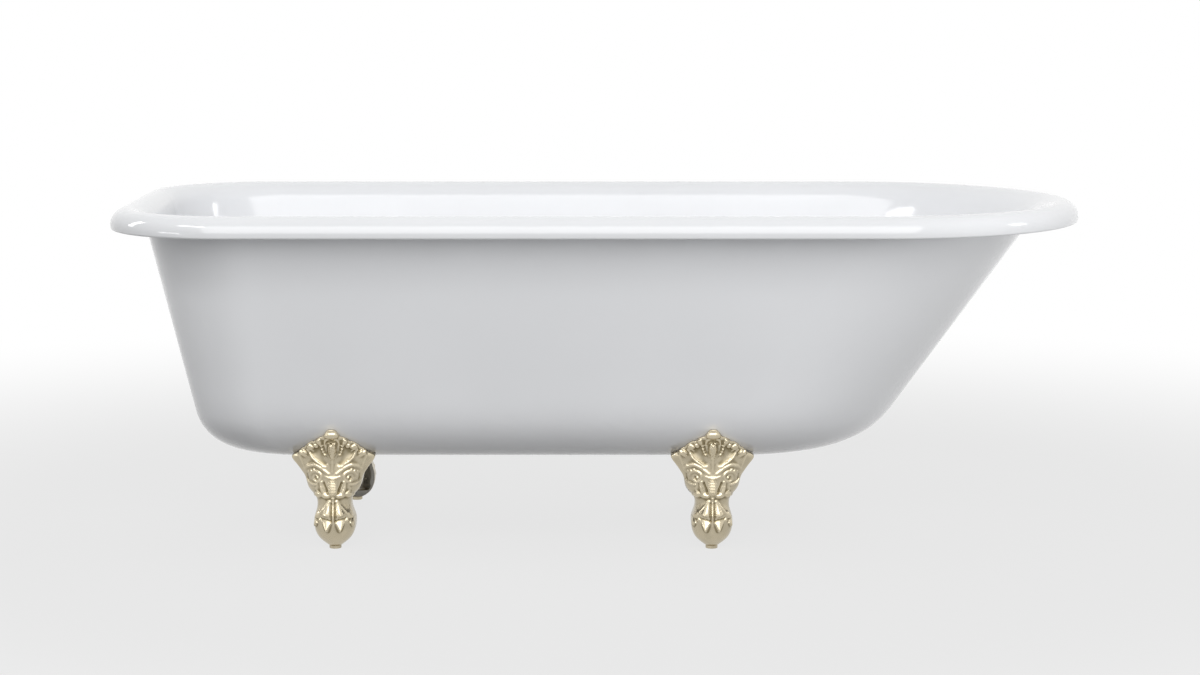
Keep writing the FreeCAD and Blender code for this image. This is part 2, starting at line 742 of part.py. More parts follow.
def break_edge(body, base, name):
    """A small chamfer round the top and bottom circles of a turned piece."""
    doc.recompute()
    rims = [f"Edge{number}" for number, edge in enumerate(base.Shape.Edges, start=1)
            if isinstance(edge.Curve, Part.Circle) and edge.Closed]
    feature = body.newObject("PartDesign::Chamfer", name)
    feature.Base = (base, rims)
    feature.setExpression("Size", "Sizes.edge_break")
    return feature


def disc(body, name, radius, length, height=None, bore=None):
    """A round pad, with a hole through it where bore is given."""
    sketch = new_sketch(body, f"{name}_outline", "XY_Plane", height)
    draw_circle(sketch, "rim", ZERO, ZERO, sized(radius))
    if bore:
        draw_circle(sketch, "bore", ZERO, ZERO, sized(bore))
    return pad(body, name, sketch, length)


def stud(label):
    """A plain-shanked stud, threaded into the lug at its top."""
    body = new_body(label)
    length = ("Sizes.stud_tail + Sizes.nut_height + Sizes.washer_thickness"
              " + Sizes.shelf_thickness + Sizes.stud_grip")
    shank = disc(body, "shank", "Sizes.stud_radius", length)
    break_edge(body, shank, "shank_ends")
    return body


def washer(label):
    body = new_body(label)
    disc(body, "ring", "Sizes.washer_radius", "Sizes.washer_thickness",
         bore="Sizes.stud_radius + Sizes.hole_clearance")
    return body


def draw_hexagon(sketch, flat):
    """A hexagon on the sketch's origin, flat being the radius to its flats."""
    corner = flat[0] / math.cos(math.pi / 6.0)
    corners = [point(corner * math.cos(side * math.pi / 3.0),
                     corner * math.sin(side * math.pi / 3.0)) for side in range(6)]
    sides = [Part.LineSegment(corners[side], corners[(side + 1) % 6]) for side in range(6)]
    sketch.addGeometry(sides, False)
    guide = sketch.addGeometry(
        Part.Circle(point(0.0, 0.0), FreeCAD.Vector(0.0, 0.0, 1.0), corner), True)
    sketch.addConstraint(Sketcher.Constraint("Coincident", guide, CENTRE, X_AXIS, FIRST))
    for side in range(6):
        following = (side + 1) % 6
        sketch.addConstraint(
            Sketcher.Constraint("Coincident", side, LAST, following, FIRST))
        sketch.addConstraint(Sketcher.Constraint("PointOnObject", side, FIRST, guide))
        if side:
            sketch.addConstraint(Sketcher.Constraint("Equal", 0, side))
    sketch.addConstraint(Sketcher.Constraint("PointOnObject", 0, FIRST, X_AXIS))
    bind(sketch, "corner", Sketcher.Constraint("Radius", guide, corner), f"({flat[1]}) / cos(30)")


def nut(label, flat, height, bore):
    """A hexagon nut with its corners turned off at both faces."""
    body = new_body(label)
    sketch = new_sketch(body, "hexagon", "XY_Plane")
    draw_hexagon(sketch, sized(flat))
    draw_circle(sketch, "bore", ZERO, ZERO, sized(bore))
    pad(body, "blank", sketch, height)
    turn_corners(body, sized(flat), sized(height))
    return body


def turn_corners(body, flat, height):
    """Cuts the nut's corners back to its flats on a 30 degree cone."""
    sketch = new_sketch(body, "corner_cut", "XZ_Plane")
    reach = flat[0] * CORNER_REACH
    fall = (reach - flat[0]) * math.tan(math.pi / 6.0)
    top = height[0]
    for index, (face, inward) in enumerate(((top, -1.0), (0.0, 1.0))):
        first = 3 * index
        inner = point(flat[0], face)
        outer = point(reach, face)
        lower = point(reach, face + inward * fall)
        sketch.addGeometry([Part.LineSegment(inner, outer), Part.LineSegment(outer, lower),
                            Part.LineSegment(lower, inner)], False)
        sketch.addConstraint([
            Sketcher.Constraint("Coincident", first, LAST, first + 1, FIRST),
            Sketcher.Constraint("Coincident", first + 1, LAST, first + 2, FIRST),
            Sketcher.Constraint("Coincident", first + 2, LAST, first, FIRST),
            Sketcher.Constraint("Horizontal", first),
            Sketcher.Constraint("Vertical", first + 1),
        ])
        name = ("top", "bottom")[index]
        bind(sketch, f"{name}_flat", place("X", first, FIRST, flat[0]), flat[1])
        bind(sketch, f"{name}_reach", place("X", first, LAST, reach),
             f"({flat[1]}) * {CORNER_REACH}")
        ends = (LAST, FIRST) if face else (FIRST, LAST)
        bind(sketch, f"{name}_fall",
             Sketcher.Constraint("DistanceY", first + 1, ends[0], first + 1, ends[1], fall),
             f"({flat[1]}) * ({CORNER_REACH} - 1) * tan(30)")
        if face:
            bind(sketch, "height", place("Y", first, FIRST, face), height[1])
        else:
            sketch.addConstraint(Sketcher.Constraint("PointOnObject", first, FIRST, X_AXIS))
    groove = body.newObject("PartDesign::Groove", "turned_corners")
    groove.Profile = sketch
    groove.ReferenceAxis = (sketch, ["V_Axis"])
    groove.Angle = 360.0
    return groove


def levelling_screw(label):
    """A screw with a broad round foot that bears on the floor."""
    body = new_body(label)
    sole = disc(body, "sole", "Sizes.pad_radius", "Sizes.pad_height")
    break_edge(body, sole, "sole_edges")
    disc(body, "shank", "Sizes.screw_radius", "Sizes.screw_length - Sizes.pad_height / 2",
         height="Sizes.pad_height / 2")
    return body


SHELF_UNDERSIDE = "(Sizes.underside_height - Sizes.lug_drop - Sizes.shelf_thickness)"
WASHER_UNDERSIDE = f"({SHELF_UNDERSIDE} - Sizes.washer_thickness)"
NUT_UNDERSIDE = f"({WASHER_UNDERSIDE} - Sizes.nut_height)"
SIDES = {"near": -1, "far": 1}

parts = [tub]
for end in FOOT_X:
    for side_name, side in SIDES.items():
        where = f"{end}_{side_name}"
        casting = foot(f"foot_{where}")
        stand(casting, end, side)
        screw = levelling_screw(f"levelling_screw_{where}")
        stand(screw, end, side)
        lock = nut(f"lock_nut_{where}", "Sizes.lock_nut_flat", "Sizes.lock_nut_height",
                   "Sizes.screw_radius + Sizes.thread_clearance")
        stand(lock, end, side, height="Sizes.boss_height")
        bolt = stud(f"foot_stud_{where}")
        stand(bolt, end, side, "Sizes.stud_setback", f"{NUT_UNDERSIDE} - Sizes.stud_tail")
        ring = washer(f"stud_washer_{where}")
        stand(ring, end, side, "Sizes.stud_setback", WASHER_UNDERSIDE)
        clamp = nut(f"stud_nut_{where}", "Sizes.nut_flat", "Sizes.nut_height",
                    "Sizes.stud_radius + Sizes.thread_clearance")
        stand(clamp, end, side, "Sizes.stud_setback", NUT_UNDERSIDE)
        parts += [casting, screw, lock, bolt, ring, clamp]


# ------------------------------------------------------------------ output

def check(items, pieces):
    """Stops the build where an object failed or a piece isn't one sound solid."""
    for item in items:
        if {"Invalid", "Error"} & set(item.State):
            raise RuntimeError(f"{item.Name} failed: {item.State}")
    for piece in pieces:
        if piece.Shape.isNull() or not piece.Shape.isValid():
            raise RuntimeError(f"{piece.Label} has no sound shape")
        if len(piece.Shape.Solids) != 1:
            raise RuntimeError(f"{piece.Label} is {len(piece.Shape.Solids)} solids")


doc.recompute()
check(doc.Objects, parts)
os.makedirs("parts", exist_ok=True)
for piece in parts:
    piece.Shape.exportStep(f"parts/{piece.Label}.step")
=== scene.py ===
import json
import math

import bpy
import numpy as np
from bpy.props import FloatProperty, FloatVectorProperty, PointerProperty
from mathutils import Matrix, Vector
from mathutils.bvhtree import BVHTree

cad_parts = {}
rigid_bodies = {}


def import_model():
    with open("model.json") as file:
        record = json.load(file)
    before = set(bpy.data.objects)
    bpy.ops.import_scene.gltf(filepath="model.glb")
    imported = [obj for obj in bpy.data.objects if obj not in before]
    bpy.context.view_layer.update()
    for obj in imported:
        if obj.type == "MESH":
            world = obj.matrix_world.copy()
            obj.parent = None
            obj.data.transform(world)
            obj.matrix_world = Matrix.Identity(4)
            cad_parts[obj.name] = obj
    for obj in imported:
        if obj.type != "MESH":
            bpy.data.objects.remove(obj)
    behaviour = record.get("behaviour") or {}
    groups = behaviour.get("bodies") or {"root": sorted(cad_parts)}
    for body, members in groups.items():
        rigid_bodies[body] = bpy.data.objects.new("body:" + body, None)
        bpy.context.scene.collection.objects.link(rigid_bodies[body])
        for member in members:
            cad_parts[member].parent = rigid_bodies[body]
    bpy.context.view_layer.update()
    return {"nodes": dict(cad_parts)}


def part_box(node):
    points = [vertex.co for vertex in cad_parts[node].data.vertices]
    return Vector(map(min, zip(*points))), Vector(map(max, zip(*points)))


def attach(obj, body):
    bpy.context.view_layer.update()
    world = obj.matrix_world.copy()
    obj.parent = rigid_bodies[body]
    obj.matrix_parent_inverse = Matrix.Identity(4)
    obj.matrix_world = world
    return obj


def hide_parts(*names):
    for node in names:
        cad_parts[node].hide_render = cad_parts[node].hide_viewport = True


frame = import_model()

bl_info = {
    "name": "Clawfoot Bathtub",
    "version": (1, 0, 0),
    "blender": (4, 5, 0),
    "location": "View3D > Sidebar > Bathtub",
    "description": "Finishes, cast feet and studio for a roll-rim bath on claw feet",
    "category": "Object",
}

MILLIMETRE = 0.001
WHITE = (1.0, 1.0, 1.0, 1.0)
ENDS = ("tap", "back")
SIDES = ("near", "far")
CORNERS = [f"{end}_{side}" for end in ENDS for side in SIDES]


# ------------------------------------------------------------------ finishes

class Signal:
    """A value that varies over a surface. Arithmetic on it adds Math nodes."""

    def __init__(self, nodes, socket):
        self.nodes = nodes
        self.socket = socket

    def math(self, operation, *values, clamp=False):
        settings = {"operation": operation, "use_clamp": clamp}
        return self.nodes.node("ShaderNodeMath", settings, dict(enumerate(values)))

    def __add__(self, other):
        return self.math("ADD", self, other)

    def __radd__(self, other):
        return self.math("ADD", other, self)

    def __sub__(self, other):
        return self.math("SUBTRACT", self, other)

    def __rsub__(self, other):
        return self.math("SUBTRACT", other, self)

    def __mul__(self, other):
        return self.math("MULTIPLY", self, other)

    def __rmul__(self, other):
        return self.math("MULTIPLY", other, self)

    def span(self, low, high, start=0.0, end=1.0):
        """Start below low, end above high, and a smooth step between."""
        return self.nodes.node(
            "ShaderNodeMapRange", {"interpolation_type": "SMOOTHSTEP"},
            {"Value": self, "From Min": low, "From Max": high, "To Min": start, "To Max": end})


class Nodes:
    """A node tree, and the one way in which nodes are added to it."""

    def __init__(self, tree):
        self.tree = tree

    def add(self, kind, settings, sockets):
        """Adds a node of any kind and returns it. Settings come before sockets."""
        node = self.tree.nodes.new(kind)
        for name, value in settings.items():
            setattr(node, name, value)
        for key, value in sockets.items():
            self.feed(node.inputs[key], value)
        return node

    def node(self, kind, settings, sockets, out=0):
        """As add, but returns one of the node's outputs, ready for arithmetic."""
        return Signal(self, self.add(kind, settings, sockets).outputs[out])

    def feed(self, socket, value):
        if isinstance(value, Signal):
            self.tree.links.new(value.socket, socket)
        else:
            socket.default_value = value


class Paint(Nodes):
    """A new material and its nodes."""

    def __init__(self, name):
        self.material = bpy.data.materials.new(name)
        self.material.use_nodes = True
        super().__init__(self.material.node_tree)
        self.shader = self.tree.nodes["Principled BSDF"]
        self.output = self.tree.nodes["Material Output"]

    def place(self, scale=(1.0, 1.0, 1.0)):
        """Object coordinates in metres, stretched by scale."""
        raw = self.node("ShaderNodeTexCoord", {}, {}, "Object")
        return self.node("ShaderNodeMapping", {}, {"Vector": raw, "Scale": scale})

    def noise(self, scale, detail, stretch=(1.0, 1.0, 1.0)):
        return self.node("ShaderNodeTexNoise", {},
                         {"Vector": self.place(stretch), "Scale": scale, "Detail": detail})

    def cells(self, scale):
        """Distance from the middle of the nearest of many small cells."""
        return self.node("ShaderNodeTexVoronoi", {"feature": "F1"},
                         {"Vector": self.place(), "Scale": scale}, "Distance")

    def layer(self, name):
        """A value kept on the piece's own vertices."""
        return self.node("ShaderNodeAttribute", {"attribute_name": name}, {}, "Fac")

    def blend(self, share, first, second):
        """One colour turning into another."""
        mixed = self.add("ShaderNodeMix", {"data_type": "RGBA"}, {0: share, 6: first, 7: second})
        return Signal(self, mixed.outputs[2])

    def wander(self, share, colour, tones):
        """A colour that drifts between two tones of itself."""
        darker, lighter = tones
        return self.blend(share, shade(colour, darker), shade(colour, lighter))

    def bump(self, height, distance, strength=1.0):
        return self.node("ShaderNodeBump", {},
                         {"Height": height, "Distance": distance, "Strength": strength})

    def finish(self, **sockets):
        for name, value in sockets.items():
            self.feed(self.shader.inputs[name.replace("_", " ")], value)
        return self.material


def shade(colour, factor=1.0):
    """A colour made lighter or darker, with its alpha."""
    return (*[min(channel * factor, 1.0) for channel in colour], 1.0)


def wear(material, nodes):
    """Puts a finish on CAD nodes by their names."""
    for name in nodes:
        for slot in frame["nodes"][name].material_slots:
            slot.material = material


# Noise values between which a cloudy pattern goes from its one tone to its other.
CLOUDY = (0.3, 0.7)

# Enamel. Patterns are (scale per metre, detail), heights of relief are in metres.
POOLING = (2.6, 2.0)
POOLED_STEP = (0.35, 0.65)
POOLED_TONES = (0.985, 1.012)
PITS = (900.0, 2.0)
PIT_STEP = (0.76, 0.80)
PIT_SHARE = 0.35
PIT_TONE = 0.80
RIPPLE = (38.0, 1.0)
RIPPLE_HEIGHT = 0.00010
HAZE = (7.0, 4.0)
HAZE_TONES = (0.8, 1.3)
GLASS_IOR = 1.5
GLAZE = 0.35
GLAZE_ROUGHNESS = 0.03


def enamel_finish(sizes):
    """Vitreous enamel: glassy, with the faint ripple of a fired coat."""
    paint = Paint("white_enamel_glaze")
    colour = paint.wander(paint.noise(*POOLING).span(*POOLED_STEP), sizes.enamel_colour,
                          POOLED_TONES)
    pits = paint.noise(*PITS).span(*PIT_STEP)
    colour = paint.blend(pits * PIT_SHARE, colour, shade(sizes.enamel_colour, PIT_TONE))
    clear, hazy = [sizes.enamel_roughness * tone for tone in HAZE_TONES]
    return paint.finish(
        Base_Color=colour,
        Roughness=paint.noise(*HAZE).span(*CLOUDY, clear, hazy),
        IOR=GLASS_IOR,
        Normal=paint.bump(paint.noise(*RIPPLE), RIPPLE_HEIGHT),
        Coat_Weight=GLAZE,
        Coat_Roughness=GLAZE_ROUGHNESS,
    )


# Zinc plate: its crystals, its clouds, and scratches that run up and down.
SPANGLE_SCALE = 260.0
SPANGLE_STEP = (0.1, 0.8)
SPANGLE_SHARE = 0.6
ZINC_CLOUDS = (90.0, 4.0)
CLOUD_SHARE = 0.4
ZINC_TONES = (0.78, 1.08)
ZINC_ROUGHNESS = (0.28, 0.48)
SCRATCHES = (700.0, 2.0, (1.0, 1.0, 0.05))
SCRATCH_HEIGHT = 0.00004
SCRATCH_STRENGTH = 0.6


def zinc_finish(sizes):
    """Zinc plate on the studs, nuts and washers: cool, with a soft spangle."""
    paint = Paint("zinc_plate")
    spangle = paint.cells(SPANGLE_SCALE).span(*SPANGLE_STEP)
    cloud = paint.noise(*ZINC_CLOUDS)
    tone = spangle * SPANGLE_SHARE + cloud.span(*CLOUDY) * CLOUD_SHARE
    return paint.finish(
        Base_Color=paint.wander(tone, sizes.zinc_colour, ZINC_TONES),
        Metallic=1.0,
        Roughness=cloud.span(*CLOUDY, *ZINC_ROUGHNESS),
        Normal=paint.bump(paint.noise(*SCRATCHES), SCRATCH_HEIGHT, SCRATCH_STRENGTH),
    )


# Plate on the cast feet. A cavity of 0.5 is level skin, more is sunk and less is proud. Sunk skin
# is darkened, partly as tarnish and partly as painted shade.
PLATE_CLOUDS = (60.0, 4.0)
PLATE_TONES = (0.93, 1.05)
PLATE_ROUGHNESS = (0.20, 0.30)
SUNK_STEP = (0.53, 0.85)
SUNK_SHARE = 0.85
# Proud skin is lightened: a painted highlight.
PAINTED_HIGHLIGHT_STEP = (0.47, 0.25)
PAINTED_HIGHLIGHT_SHARE = 0.6
PAINTED_HIGHLIGHT_TONE = 1.25
DULL_STEP = (0.5, 0.8)
SUNK_ROUGHNESS = 0.15
INSIDE_STEP = (0.2, 0.8)
INSIDE_ROUGHNESS = 0.3
# Relief too fine for the mesh, its heights as shares of RELIEF_HEIGHT: the drop's
# stipple, the column's ribs, whose pitch is in metres, and the cast skin.
STIPPLE_SCALE = 340.0
STIPPLE_HEIGHT = 4.5
# The stipple's pits and the ribs' troughs take the patina_and_shade colour: tarnish and painted
# shade.
STIPPLE_STEP = (0.45, 0.15)
STIPPLE_SHARE = 0.6
RIB_PITCH = 0.0027
RIB_HEIGHT = 0.9
RIB_STEP = (-0.2, -0.9)
RIB_SHARE = 0.45
CAST_SKIN = (240.0, 3.0)
SKIN_HEIGHT = 0.25
RELIEF_HEIGHT = 0.0006
RELIEF_STRENGTH = 0.5


def plate_finish(sizes):
    """Polished plate over the cast feet: dark tarnish and painted shade in their relief, painted
    highlights where they stand proud, dull in their open backs.
    """
    paint = Paint("champagne_plate_cast")
    cavity = paint.layer("cavity")
    grain = paint.layer("grain")
    ribs = paint.layer("ribs")
    inside = paint.layer("inside").span(*INSIDE_STEP)
    cloud = paint.noise(*PLATE_CLOUDS)
    patina_and_shade = shade(sizes.patina_and_shade_colour)
    colour = paint.wander(cloud.span(*CLOUDY), sizes.plate_colour, PLATE_TONES)
    # Sunk skin takes the patina_and_shade colour: partly the plate's own tarnish in its hollows,
    # partly painted shade.
    colour = paint.blend(cavity.span(*SUNK_STEP) * SUNK_SHARE, colour, patina_and_shade)
    # Painted highlight: proud skin made lighter.
    colour = paint.blend(cavity.span(*PAINTED_HIGHLIGHT_STEP) * PAINTED_HIGHLIGHT_SHARE, colour,
                         shade(sizes.plate_colour, PAINTED_HIGHLIGHT_TONE))
    colour = paint.blend(inside, colour, shade(sizes.casting_colour))
    stipple = paint.cells(STIPPLE_SCALE)
    level = paint.node("ShaderNodeSeparateXYZ", {}, {"Vector": paint.place()}, "Z")
    rib = level.math("SINE", level * (math.tau / RIB_PITCH))
    height = (paint.noise(*CAST_SKIN) * SKIN_HEIGHT + stipple * grain * STIPPLE_HEIGHT
              + rib * ribs * RIB_HEIGHT)
    # Tarnish and painted shade in the stipple's pits and the ribs' troughs.
    colour = paint.blend(stipple.span(*STIPPLE_STEP) * grain * STIPPLE_SHARE, colour, patina_and_shade)
    colour = paint.blend(rib.span(*RIB_STEP) * ribs * RIB_SHARE, colour, patina_and_shade)
    return paint.finish(
        Base_Color=colour,
        Metallic=1.0 - inside,
        Roughness=(cloud.span(*CLOUDY, *PLATE_ROUGHNESS)
                   + cavity.span(*DULL_STEP) * SUNK_ROUGHNESS + inside * INSIDE_ROUGHNESS),
        Normal=paint.bump(height, RELIEF_HEIGHT, RELIEF_STRENGTH),
    )


# The same plate on turned pieces, with marks that run round them.
TURNED_CLOUDS = (120.0, 3.0)
TURNED_TONES = (0.84, 1.06)
TURNED_ROUGHNESS = (0.20, 0.34)
TURNING = (1500.0, 2.0, (0.04, 0.04, 1.0))
TURNING_HEIGHT = 0.00003
TURNING_STRENGTH = 0.5


def turned_finish(sizes):
    """The feet's plate on turned and milled pieces, with fine turning marks."""
    paint = Paint("champagne_turned")
    cloud = paint.noise(*TURNED_CLOUDS)
    return paint.finish(
        Base_Color=paint.wander(cloud.span(*CLOUDY), sizes.plate_colour, TURNED_TONES),
        Metallic=1.0,
        Roughness=cloud.span(*CLOUDY, *TURNED_ROUGHNESS),
        Normal=paint.bump(paint.noise(*TURNING), TURNING_HEIGHT, TURNING_STRENGTH),
    )


# --------------------------------------------------------------------- sizes

class BathFinish(bpy.types.PropertyGroup):
    """Sizes and colours of the finishes."""

    enamel_colour: FloatVectorProperty(
        name="Enamel", description="Colour of the enamel", subtype="COLOR",
        min=0.0, max=1.0, default=(0.84, 0.85, 0.87))
    enamel_roughness: FloatProperty(
        name="Enamel roughness", description="How far the enamel is from a mirror",
        subtype="FACTOR", min=0.0, max=1.0, default=0.10)
    plate_colour: FloatVectorProperty(
        name="Plate", description="Colour of the feet's plating", subtype="COLOR",
        min=0.0, max=1.0, default=(0.54, 0.475, 0.345))
    # The patina_and_shade colour: tarnish deep in the ornament, and painted shade there too.
    patina_and_shade_colour: FloatVectorProperty(
        name="Patina", description="Colour of the plating deep in the ornament",
        subtype="COLOR", min=0.0, max=1.0, default=(0.22, 0.18, 0.10))
    casting_colour: FloatVectorProperty(
        name="Casting", description="Colour of the dull casting in a foot's open back",
        subtype="COLOR", min=0.0, max=1.0, default=(0.62, 0.59, 0.52))
    zinc_colour: FloatVectorProperty(
        name="Zinc", description="Colour of the studs, washers and nuts", subtype="COLOR",
        min=0.0, max=1.0, default=(0.60, 0.62, 0.64))
    foot_grain: FloatProperty(
        name="Foot detail", description="Size of the smallest facet of a cast foot",
        unit="LENGTH", precision=4, min=0.0008, max=0.004, default=0.0013)


class BathStudio(bpy.types.PropertyGroup):
    """The floor, the lamps and the camera."""

    floor_radius: FloatProperty(
        name="Floor", description="Radius of the round floor", unit="LENGTH", default=60.0)
    floor_colour: FloatVectorProperty(
        name="Floor colour", description="Colour of the floor", subtype="COLOR",
        min=0.0, max=1.0, default=(0.22, 0.22, 0.22))
    room_light: FloatProperty(
        name="Room light", description="Strength of the light from all round",
        subtype="FACTOR", min=0.0, max=1.0, default=0.05)
    lens: FloatProperty(
        name="Lens", description="Focal length of the camera", unit="CAMERA", default=85.34)
    camera_place: FloatVectorProperty(
        name="Camera", description="Where the camera stands", subtype="TRANSLATION",
        default=(-0.0031, -5.0156, 1.0254))
    camera_tilt: FloatProperty(
        name="Tilt", description="How far the camera looks down", subtype="ANGLE",
        default=math.radians(7.84))


# ----------------------------------------------------------------- the pieces

class BATH_OT_enamel(bpy.types.Operator):
    """Gives the casting its enamel"""
    bl_idname = "bath.enamel"
    bl_label = "Enamel"

    def execute(self, context):
        wear(enamel_finish(context.scene.bath_finish), ["tub_shell"])
        return {"FINISHED"}


class BATH_OT_fittings(bpy.types.Operator):
    """Finishes the levelling screws, studs, washers and nuts"""
    bl_idname = "bath.fittings"
    bl_label = "Fittings"

    def execute(self, context):
        sizes = context.scene.bath_finish
        turned = [f"{kind}_{corner}" for corner in CORNERS
                  for kind in ("levelling_screw", "lock_nut")]
        wear(turned_finish(sizes), turned)
        zinc = [f"{kind}_{corner}" for corner in CORNERS
                for kind in ("foot_stud", "stud_washer", "stud_nut")]
        wear(zinc_finish(sizes), zinc)
        return {"FINISHED"}


# ------------------------------------------------------------ the claw feet
# A foot is modelled once, with its levelling screw on +Z and its front
# towards -Y. Ornament is drawn as seen from the front: across and up, in
# millimetres, on the plain casting. side is 1 for right and -1 for left.

def choose(pieces):
    """Selects these pieces alone, the first of them active."""
    bpy.ops.object.select_all(action="DESELECT")
    for piece in pieces:
        piece.select_set(True)
    bpy.context.view_layer.objects.active = pieces[0]


def apply_modifier(piece, kind, **settings):
    modifier = piece.modifiers.new(kind.lower(), kind)
    for name, value in settings.items():
        setattr(modifier, name, value)
    choose([piece])
    bpy.ops.object.modifier_apply(modifier=modifier.name)


def foot_axis(corner):
    """Where a foot's levelling screw stands on the floor."""
    low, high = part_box(f"levelling_screw_{corner}")
    return Vector(((low.x + high.x) / 2.0, (low.y + high.y) / 2.0, 0.0))


# Corners of the casting's triangles nearer than this are one vertex, in metres.
MERGE_DISTANCE = 0.00001


def plain_foot(corner):
    """A merged copy of the CAD casting, moved to its own axis."""
    choose([frame["nodes"][f"foot_{corner}"]])
    bpy.ops.object.duplicate()
    piece = bpy.context.active_object
    for name in list(piece.keys()):
        del piece[name]
    bpy.ops.object.parent_clear(type="CLEAR_KEEP_TRANSFORM")
    piece.rotation_mode = "XYZ"
    bpy.ops.object.mode_set(mode="EDIT")
    bpy.ops.mesh.select_all(action="SELECT")
    bpy.ops.mesh.remove_doubles(threshold=MERGE_DISTANCE)
    bpy.ops.object.mode_set(mode="OBJECT")
    piece.location = -foot_axis(corner)
    bpy.ops.object.transform_apply(location=True, rotation=False, scale=False)
    return piece


# Where a look at the foot's front starts, and where it starts past the foot's outline.
FAR_AHEAD = -0.3
JUST_AHEAD = -0.04
# How far round a spot its direction is averaged, in millimetres.
ROUND_A_SPOT = 2.5


class Front:
    """The plain casting's front, for laying ornament on."""

    def __init__(self, piece):
        self.tree = BVHTree.FromObject(piece, bpy.context.evaluated_depsgraph_get())

    def spot(self, across, up):
        """The place and outward direction of the skin at a point drawn on it."""
        start = Vector((across * MILLIMETRE, FAR_AHEAD, up * MILLIMETRE))
        place, normal, _, _ = self.tree.ray_cast(start, Vector((0.0, 1.0, 0.0)))
        if place is None:
            start.y = JUST_AHEAD
            place, normal, _, _ = self.tree.find_nearest(start)
        if normal.y > 0.0:
            normal = -normal
        return place, normal

    def smooth_spot(self, across, up):
        """As spot, with the direction averaged over the skin near by."""
        place, normal = self.spot(across, up)
        for right, above in ((1, 0), (-1, 0), (0, 1), (0, -1)):
            _, near_by = self.spot(across + right * ROUND_A_SPOT, up + above * ROUND_A_SPOT)
            normal = normal + near_by
        return place, normal.normalized()


def smooth_course(course, steps):
    """Points on a Catmull-Rom line through a drawn course, with all its columns."""
    course = np.array(course, float)
    padded = np.vstack([2.0 * course[0] - course[1], course, 2.0 * course[-1] - course[-2]])
    points = []
    for index in range(len(course) - 1):
        before, start, end, after = padded[index:index + 4]
        for share in np.arange(steps) / steps:
            points.append(0.5 * (
                2.0 * start + (end - before) * share
                + (2.0 * before - 5.0 * start + 4.0 * end - after) * share ** 2
                + (3.0 * start - before - 3.0 * end + after) * share ** 3))
    points.append(course[-1])
    return points


# Points from one drawn point of a bar to the next, how round its section is, and
# its least radius in millimetres. Then the same roundness for eggs.
BAR_STEPS = 6
BAR_ROUNDNESS = 3
THINNEST_BAR = 0.3
EGG_SEGMENTS = 24
EGG_RINGS = 14


def ridge(front, course, lift):
    """A round bar laid along a course of (across, up, radius)."""
    bpy.ops.curve.primitive_nurbs_path_add()
    bar = bpy.context.active_object
    bar.data.splines.clear()
    line = bar.data.splines.new("POLY")
    points = smooth_course(course, BAR_STEPS)
    line.points.add(len(points) - 1)
    for knot, (across, up, radius) in zip(line.points, points):
        place, normal = front.smooth_spot(across, up)
        radius = max(radius, THINNEST_BAR) * MILLIMETRE
        knot.co = (*(place + normal * radius * lift), 1.0)
        knot.radius = radius
    bar.data.dimensions = "3D"
    bar.data.bevel_depth = 1.0
    bar.data.bevel_resolution = BAR_ROUNDNESS
    bar.data.use_fill_caps = True
    bpy.ops.object.convert(target="MESH")
    return bpy.context.active_object


def swelling(front, across, up, half_across, half_along, height, lean, sink):
    """An egg-shaped swelling on the skin. lean turns it clockwise, in degrees."""
    place, normal = front.smooth_spot(across, up)
    turn = math.radians(lean)
    along = Vector((math.sin(turn), 0.0, math.cos(turn)))
    along = (along - normal * along.dot(normal)).normalized()
    sideways = normal.cross(along)
    frame_of_egg = Matrix((sideways, normal, along)).transposed()
    bpy.ops.mesh.primitive_uv_sphere_add(
        segments=EGG_SEGMENTS, ring_count=EGG_RINGS, radius=MILLIMETRE,
        location=place - normal * sink * MILLIMETRE, rotation=frame_of_egg.to_euler(),
        scale=(half_across, height, half_along))
    return bpy.context.active_object


def mirrored(course, side):
    """A course drawn on the right, put on either side."""
    return [(side * across, *rest) for across, *rest in course]


# Widths of the leg and the crown, as (up, share of the CAD's).
WIDTH_SHARES = (
    (68.0, 1.0), (80.0, 0.95), (88.0, 0.94), (95.0, 0.99), (103.0, 1.07), (110.0, 1.09),
    (118.0, 1.07), (130.0, 1.0), (164.0, 1.0), (170.0, 0.93), (176.0, 0.89), (182.0, 0.89),
    (188.0, 0.87), (194.0, 0.82), (200.0, 0.72), (204.0, 0.64), (208.0, 0.62), (216.0, 0.62),
)
# Courses of (across, up, radius) and the lift of each bar off the skin.
CENTRE_RIDGES = (
    # arch over the hollow in the crown
    ([(-10.5, 181, 1.3), (-12, 188, 2.2), (-9.5, 196, 2.9), (0, 200.5, 3.2), (9.5, 196, 2.9),
      (12, 188, 2.2), (10.5, 181, 1.3)], 0.25),
    # drop that hangs from it, and the stem below
    ([(0, 189, 5.0), (0, 184, 7.6), (0, 177, 8.4), (0, 170, 7.0), (0, 163, 4.8), (0, 156, 3.2),
      (0, 147, 2.3), (0, 138, 1.7)], -0.2),
    # thin tendon between the two great toes
    ([(0, 92, 1.4), (0, 80, 1.8), (0, 68, 1.8), (0, 57, 1.9), (0, 49, 1.6), (0, 43, 0.7)], 0.35),
    # bridge between the eyes
    ([(-13, 131, 1.2), (-5, 128.5, 1.8), (5, 128.5, 1.8), (13, 131, 1.2)], -0.35),
)
